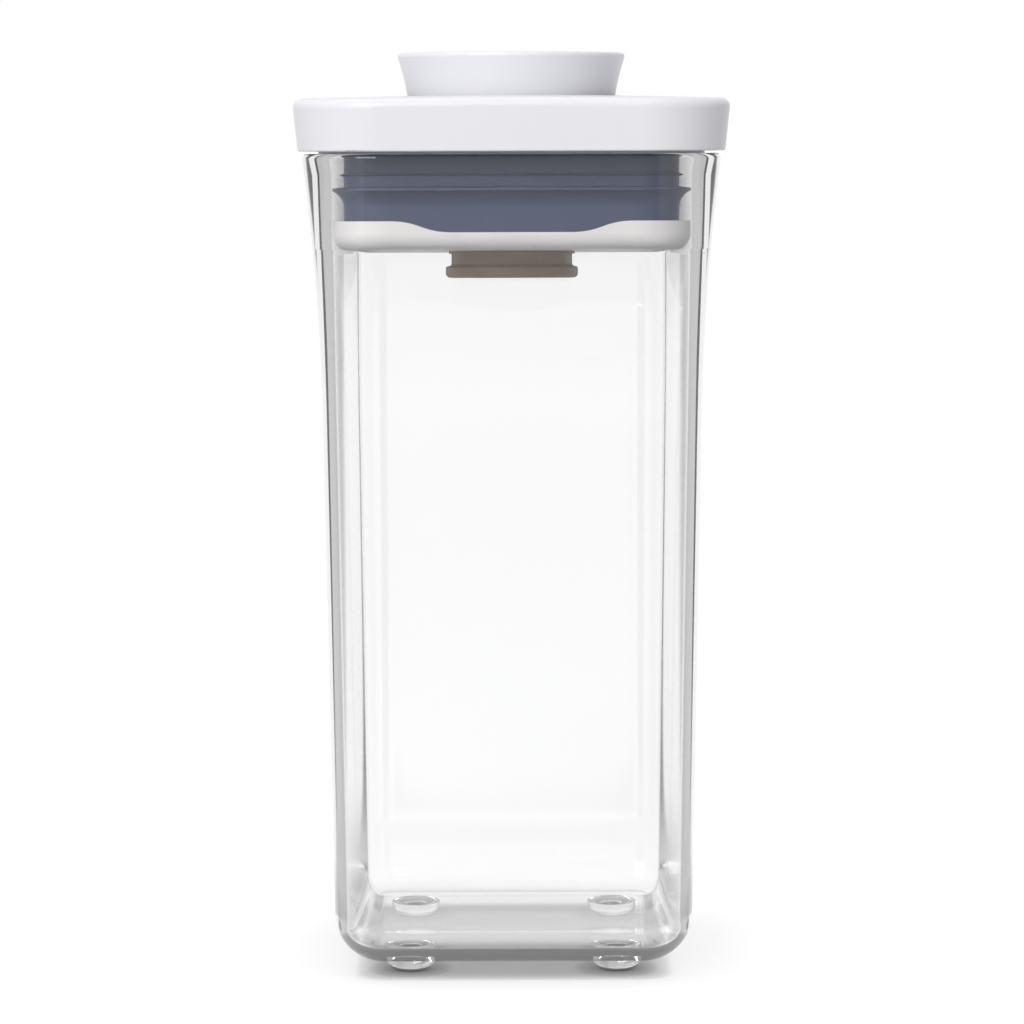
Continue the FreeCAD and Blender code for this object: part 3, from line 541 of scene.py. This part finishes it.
# %% Section drawing
class Section:
    """A line of points (out, up) in millimetres."""

    ROUND_STEPS = 20

    def __init__(self, out, up):
        self.points = [Vector((out, up))]
        self.heading = None

    def run(self, *corners):
        """Straight runs through the corners; a third number rounds a corner to that radius."""
        for here, after in zip(corners, (*corners[1:], None)):
            corner = Vector(here[:2])
            self.heading = (corner - self.points[-1]).normalized()
            if len(here) == 3:
                self.round_off(corner, Vector(after[:2]), here[2])
            else:
                self.points.append(corner)
        return self

    def round_off(self, corner, after, radius):
        """Leave this run before the corner, and meet the next one, on an arc."""
        leaving = (after - corner).normalized()
        turn = self.heading.angle(leaving)
        setback = radius * math.tan(turn / 2)
        self.points.append(corner - self.heading * setback)
        self.bend(*(corner + leaving * setback), self.ROUND_STEPS)

    def bend(self, out, up, steps):
        """An arc to a point that starts in the direction of the last run or arc."""
        start, end = self.points[-1], Vector((out, up))
        chord = end - start
        half = self.heading.angle_signed(chord)
        for step in range(1, steps + 1):
            share = step / steps
            length = chord.length * math.sin(half * share) / math.sin(half)
            ahead = self.heading.copy()
            ahead.rotate(Matrix.Rotation(-half * share, 2))
            self.points.append(start + ahead * length)
        self.heading.rotate(Matrix.Rotation(-2 * half, 2))
        return self

    def as_curve(self, name, path_out, closed):
        """A curve for Curve to Mesh: x is the offset from the path, y is down."""
        data = bpy.data.curves.new(name, "CURVE")
        data.dimensions = "3D"
        spline = data.splines.new("POLY")
        spline.points.add(len(self.points) - 1)
        for point, (out, up) in zip(spline.points, self.points):
            point.co = ((out - path_out) * MM, -up * MM, 0, 1)
        spline.use_cyclic_u = closed
        curve = bpy.data.objects.new(name, data)
        scene.collection.objects.link(curve)
        return curve


# %% [markdown]
# ## Geometry Nodes
# A tree gets named inputs for its sizes, runs once on an empty object, and its result is
# kept as a plain mesh. The doubles where a sweep meets a plate are merged, and weighted
# normals keep the flat walls truly flat, because clear plastic shows the slightest bend.

# %% Geometry tree helpers
SOCKET_KINDS = {float: "NodeSocketFloat", int: "NodeSocketInt"}
WELD = 0.004 * MM
SHARP_ANGLE = math.radians(34)
CM3_IN_M3 = 1e6


def start_tree(name, values):
    """A tree with one named input for each value, and its inputs as Wires."""
    tree = bpy.data.node_groups.new(name, "GeometryNodeTree")
    tree.interface.new_socket("Geometry", in_out="OUTPUT", socket_type="NodeSocketGeometry")
    for label, value in values.items():
        kind = SOCKET_KINDS.get(type(value), "NodeSocketObject")
        tree.interface.new_socket(label, in_out="INPUT", socket_type=kind)
    group = tree.nodes.new("NodeGroupInput")
    return tree, {label: Wire(group.outputs[label]) for label in values}


def end_tree(tree, geometry, material):
    made = Wire.node(tree, "GeometryNodeRealizeInstances", None, {"Geometry": geometry})
    inputs = {"Geometry": made, "Material": material}
    made = Wire.node(tree, "GeometryNodeSetMaterial", None, inputs)
    Wire.node(tree, "NodeGroupOutput", None, {"Geometry": made})


def evaluate(piece):
    """Swap the piece's mesh for its mesh with the modifiers run, and drop the modifiers."""
    depsgraph = bpy.context.evaluated_depsgraph_get()
    mesh = bpy.data.meshes.new_from_object(piece.evaluated_get(depsgraph))
    piece.modifiers.clear()
    piece.data = mesh


def close_mesh(mesh):
    """Merge the doubles, turn all faces out, and give the volume and the open edges."""
    shape = bmesh.new()
    shape.from_mesh(mesh)
    bmesh.ops.remove_doubles(shape, verts=shape.verts, dist=WELD)
    bmesh.ops.recalc_face_normals(shape, faces=shape.faces)
    open_edges = sum(not edge.is_manifold for edge in shape.edges)
    volume = shape.calc_volume(signed=True)
    shape.to_mesh(mesh)
    shape.free()
    return volume, open_edges


def grow(name, tree, values):
    """Run a tree with these values and keep a plain, closed, smooth mesh."""
    piece = bpy.data.objects.new(name, bpy.data.meshes.new(name))
    scene.collection.objects.link(piece)
    modifier = piece.modifiers.new("grow", "NODES")
    modifier.node_group = tree
    for item in tree.interface.items_tree:
        if item.in_out == "INPUT":
            modifier[item.identifier] = values[item.name]
    evaluate(piece)
    volume, open_edges = close_mesh(piece.data)
    piece.data.shade_smooth()
    piece.data.set_sharp_from_angle(angle=SHARP_ANGLE)
    piece.modifiers.new("even_normals", "WEIGHTED_NORMAL").keep_sharp = True
    evaluate(piece)
    for used in values.values():
        if isinstance(used, bpy.types.Object):
            bpy.data.objects.remove(used)
    faces = len(piece.data.polygons)
    print(f"{name}: {faces} faces, {volume * CM3_IN_M3:.2f} cm3, {open_edges} open edges")
    return piece


# %% Sweep helpers
def rounded_square(tree, centre, radius, steps):
    """A loop round four corner centres that stand centre from both axes."""
    side = (centre + radius) * 2
    inputs = {"Width": side, "Height": side}
    square = Wire.node(tree, "GeometryNodeCurvePrimitiveQuadrilateral", None, inputs)
    inputs = {"Curve": square, "Radius": radius, "Count": steps}
    return Wire.node(tree, "GeometryNodeFilletCurve", {"mode": "POLY"}, inputs)


def circle(tree, radius, steps):
    inputs = {"Radius": radius, "Resolution": steps}
    return Wire.node(tree, "GeometryNodeCurvePrimitiveCircle", None, inputs)


def vector_math(tree, operation, *inputs):
    settings = {"operation": operation}
    return Wire.node(tree, "ShaderNodeVectorMath", settings, dict(enumerate(inputs)))


def way_out(tree, centre):
    """The direction straight out from the nearest corner centre."""
    place = Wire.node(tree, "GeometryNodeInputPosition")
    corner = vector_math(tree, "MINIMUM", place, centre)
    corner = vector_math(tree, "MAXIMUM", corner, 0 - centre)
    return vector_math(tree, "NORMALIZE", vector_math(tree, "SUBTRACT", place, corner))


def sweep(tree, path, section, centre):
    """Carry a section round a path, always facing straight out."""
    inputs = {"Curve": path, "Normal": way_out(tree, centre)}
    facing = Wire.node(tree, "GeometryNodeSetCurveNormal", {"mode": "FREE"}, inputs)
    inputs = {"Object": section}
    outline = Wire.node(tree, "GeometryNodeObjectInfo", None, inputs, output="Geometry")
    inputs = {"Curve": facing, "Profile Curve": outline}
    return Wire.node(tree, "GeometryNodeCurveToMesh", None, inputs)


def join(tree, *parts):
    return Wire.node(tree, "GeometryNodeJoinGeometry", None, {"Geometry": list(parts)})


def lift(tree, geometry, height):
    place = Wire.node(tree, "ShaderNodeCombineXYZ", None, {"Z": height})
    inputs = {"Geometry": geometry, "Translation": place}
    return Wire.node(tree, "GeometryNodeTransform", None, inputs)


# %% [markdown]
# ## The clear shell
# The real shell is one clear moulding: a floor with a rounded edge, walls that lean out a
# little and flare into a thick rim, a wider band inside for the seal, and four round feet
# with a dimple under each. What makes it look moulded is how its thick corners bend the
# light, so the walls have a true inner and outer face. A box with a Solidify modifier
# would give every wall one thickness. Instead, one section goes round a rounded square,
# two flat plates close the floor, and the feet are turned on four points.

# %% Shell section
CORNER_CENTRE = 24.05
CORNER_STEPS = 44
PATH_OUT = 9.0
BASE_OUT, BASE_Z, BASE_ROUND = 9.4, 2.6, 9.0
FLOOR_OUT, FLOOR_Z, FLOOR_ROUND = 7.25, 5.4, 4.5
WAIST_OUT, WAIST_Z = 11.098, 105.0
RIM_OUT, RIM_SIDE_Z = 14.5, 152.8
RIM_TOP_OUT, RIM_Z = 13.6, 153.7
FLARE_STEPS, RIM_STEPS = 30, 12
LIP_OUT, LIP_ROUND = 9.8, 0.5
SEAL_OUT, SEAL_HIGH_Z, SEAL_LOW_Z = 9.25, 150.2, 136.4
LEDGE_OUT = 9.0


def shell_section():
    """From the middle of the base up the outside, over the rim and down to the floor."""
    section = Section(0, BASE_Z)
    section.run((BASE_OUT, BASE_Z, BASE_ROUND), (WAIST_OUT, WAIST_Z))
    section.bend(RIM_OUT, RIM_SIDE_Z, FLARE_STEPS).bend(RIM_TOP_OUT, RIM_Z, RIM_STEPS)
    section.run((LIP_OUT, RIM_Z, LIP_ROUND), (SEAL_OUT, SEAL_HIGH_Z))
    section.run((SEAL_OUT, SEAL_LOW_Z), (LEDGE_OUT, SEAL_LOW_Z))
    section.run((FLOOR_OUT, FLOOR_Z, FLOOR_ROUND), (0, FLOOR_Z))
    # The plates fill the middle of the base and of the floor, so the sweep leaves it out.
    section.points = section.points[1:-1]
    return section


wall = shell_section()
print(f"wall section: {len(wall.points)} points")

# %% Foot section
FOOT_PLACE, FOOT_RADIUS, FOOT_ROUND = 19.5, 4.8, 2.3
FOOT_STEPS = 72
DIMPLE = ((2.1, 0), (1.8, 0.32), (1.05, 0.6), (0, 0.7))

foot = Section(FOOT_RADIUS, BASE_Z).run((FOOT_RADIUS, 0, FOOT_ROUND), *DIMPLE)
print(f"foot section: {len(foot.points)} points")


# %% Shell
def shell_tree(values):
    tree, size = start_tree("shell", values)
    centre, steps = size["Corner centre"], size["Corner steps"]
    path = rounded_square(tree, centre, size["Path radius"], steps)
    walls = sweep(tree, path, size["Wall section"], centre)
    inner = rounded_square(tree, centre, size["Floor radius"], steps)
    floor = Wire.node(tree, "GeometryNodeFillCurve", {"mode": "NGONS"}, {"Curve": inner})
    side = size["Foot place"] * 2
    inputs = {"Size X": side, "Size Y": side, "Vertices X": 2, "Vertices Y": 2}
    spots = Wire.node(tree, "GeometryNodeMeshGrid", None, inputs)
    ring = circle(tree, size["Foot radius"], FOOT_STEPS)
    one_foot = sweep(tree, ring, size["Foot section"], centre * 0)
    feet, rings = (
        Wire.node(tree, "GeometryNodeInstanceOnPoints", None, {"Points": spots, "Instance": item})
        for item in (one_foot, ring))
    outer = rounded_square(tree, centre, size["Base radius"], steps)
    loops = join(tree, outer, rings)
    loops = Wire.node(tree, "GeometryNodeRealizeInstances", None, {"Geometry": loops})
    base = Wire.node(tree, "GeometryNodeFillCurve", {"mode": "TRIANGLES"}, {"Curve": loops})
    floor = lift(tree, floor, size["Floor height"])
    base = lift(tree, base, size["Base height"])
    end_tree(tree, join(tree, walls, floor, base, feet), clear_plastic)
    return tree


shell_sizes = {
    "Wall section": wall.as_curve("wall_section", PATH_OUT, closed=False),
    "Foot section": foot.as_curve("foot_section", FOOT_RADIUS, closed=False),
    "Corner centre": CORNER_CENTRE * MM,
    "Corner steps": CORNER_STEPS,
    "Path radius": PATH_OUT * MM,
    "Base radius": wall.points[0].x * MM,
    "Floor radius": wall.points[-1].x * MM,
    "Base height": BASE_Z * MM,
    "Floor height": FLOOR_Z * MM,
    "Foot place": FOOT_PLACE * MM,
    "Foot radius": FOOT_RADIUS * MM,
}
shell = grow("clear_shell", shell_tree(shell_sizes), shell_sizes)
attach(shell, "container")
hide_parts("container_body")

# %% [markdown]
# ## The silicone gasket
# The seal is a soft ring: a thick band with one long fin that is turned up at its edge,
# and one thin rib above it. Rings stacked on each other would leave seams, so it is the
# same kind of sweep as the shell, with a closed section. When the button goes down the
# ring is squeezed between the retainer and the presser; here it keeps its shape and rides
# with the lid.

# %% Gasket
GASKET_Z = 138.3
GASKET_PATH = 6.0
BAND_IN, BAND_OUT, BAND_HEIGHT, BAND_ROUND = 4.6, 6.85, 14.7, 1.2
# The fin and the rib have four heights above the foot of the ring: where the lower side
# leaves the band, where it ends, the top of the edge, and where the upper side comes back.
FIN_OUT, FIN_HEIGHTS, FIN_STEPS = 9.0, (6.0, 9.0, 9.45, 9.85), 16
RIB_OUT, RIB_HEIGHTS = 7.6, (11.75, 12.0, 12.1, 12.3)


def gasket_section():
    """Up the outside of the band, round the fin and the rib, and back at the top."""
    low, high = GASKET_Z, GASKET_Z + BAND_HEIGHT
    fin, rib = ([low + height for height in heights] for heights in (FIN_HEIGHTS, RIB_HEIGHTS))
    section = Section(BAND_IN, low).run((BAND_OUT, low, BAND_ROUND), (BAND_OUT, fin[0]))
    section.bend(FIN_OUT, fin[1], FIN_STEPS).run((FIN_OUT, fin[2]), (BAND_OUT, fin[3]))
    section.run((BAND_OUT, rib[0]), (RIB_OUT, rib[1]), (RIB_OUT, rib[2]), (BAND_OUT, rib[3]))
    return section.run((BAND_OUT, high), (BAND_IN, high))


def ring_tree(values, material):
    tree, size = start_tree("ring", values)
    centre = size["Corner centre"]
    path = rounded_square(tree, centre, size["Path radius"], size["Corner steps"])
    end_tree(tree, sweep(tree, path, size["Section"], centre), material)
    return tree


ring_sizes = {
    "Section": gasket_section().as_curve("gasket_section", GASKET_PATH, closed=True),
    "Corner centre": CORNER_CENTRE * MM,
    "Path radius": GASKET_PATH * MM,
    "Corner steps": CORNER_STEPS,
}
seal = grow("silicone_gasket", ring_tree(ring_sizes, silicone), ring_sizes)
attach(seal, "lid")
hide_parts("gasket")
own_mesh(seal)

# %% [markdown]
# ## The return spring
# A spring is a wire on a spiral. A Screw modifier could turn a circle up into one, but its
# wire is cut level instead of square to the coil. Here the spiral and a small circle for
# the wire are both curves, and the one is swept along the other. The spring keeps one
# length and rides with the lid.

# %% Spring
SPRING = {
    "Turns": 8.0, "Coil radius": 6.25 * MM, "Wire radius": 0.5 * MM,
    "Low": 149.6 * MM, "Height": 20.25 * MM,
}
SPRING_STEPS, WIRE_STEPS = 44, 16


def spring_tree(values):
    tree, size = start_tree("spring", values)
    coil = Wire.node(tree, "GeometryNodeCurveSpiral", None, {
        "Resolution": SPRING_STEPS, "Rotations": size["Turns"], "Height": size["Height"],
        "Start Radius": size["Coil radius"], "End Radius": size["Coil radius"]})
    wire = circle(tree, size["Wire radius"], WIRE_STEPS)
    inputs = {"Curve": coil, "Profile Curve": wire, "Fill Caps": True}
    turned = Wire.node(tree, "GeometryNodeCurveToMesh", None, inputs)
    end_tree(tree, lift(tree, turned, size["Low"]), spring_steel)
    return tree


spring = grow("coil_spring", spring_tree(SPRING), SPRING)
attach(spring, "lid")
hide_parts("return_spring")
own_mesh(spring)

# %% [markdown]
# ## Solids that keep their shape
# The lid, the button, the retainer, the knob and the mechanism already have the shape of
# the real mouldings. Modelling them again would gain nothing, so they stay as they are and
# only change their material. The solids that a new piece replaces get the same finish.

# %% Dress the solids
FINISHES = {
    "lid_cover": plastics["white_plastic"],
    "push_button": plastics["white_plastic"],
    "gasket_retainer": plastics["retainer_plastic"],
    "accessory_knob": plastics["taupe_plastic"],
    "seal_presser": plastics["inner_plastic"],
    "plug_frame": plastics["inner_plastic"],
    "button_stem": plastics["inner_plastic"],
    "latch_pin": spring_steel,
    "container_body": clear_plastic,
    "gasket": silicone,
    "return_spring": spring_steel,
}
for name, material in FINISHES.items():
    nodes[name].material_slots[0].material = material
print("dressed:", ", ".join(FINISHES))
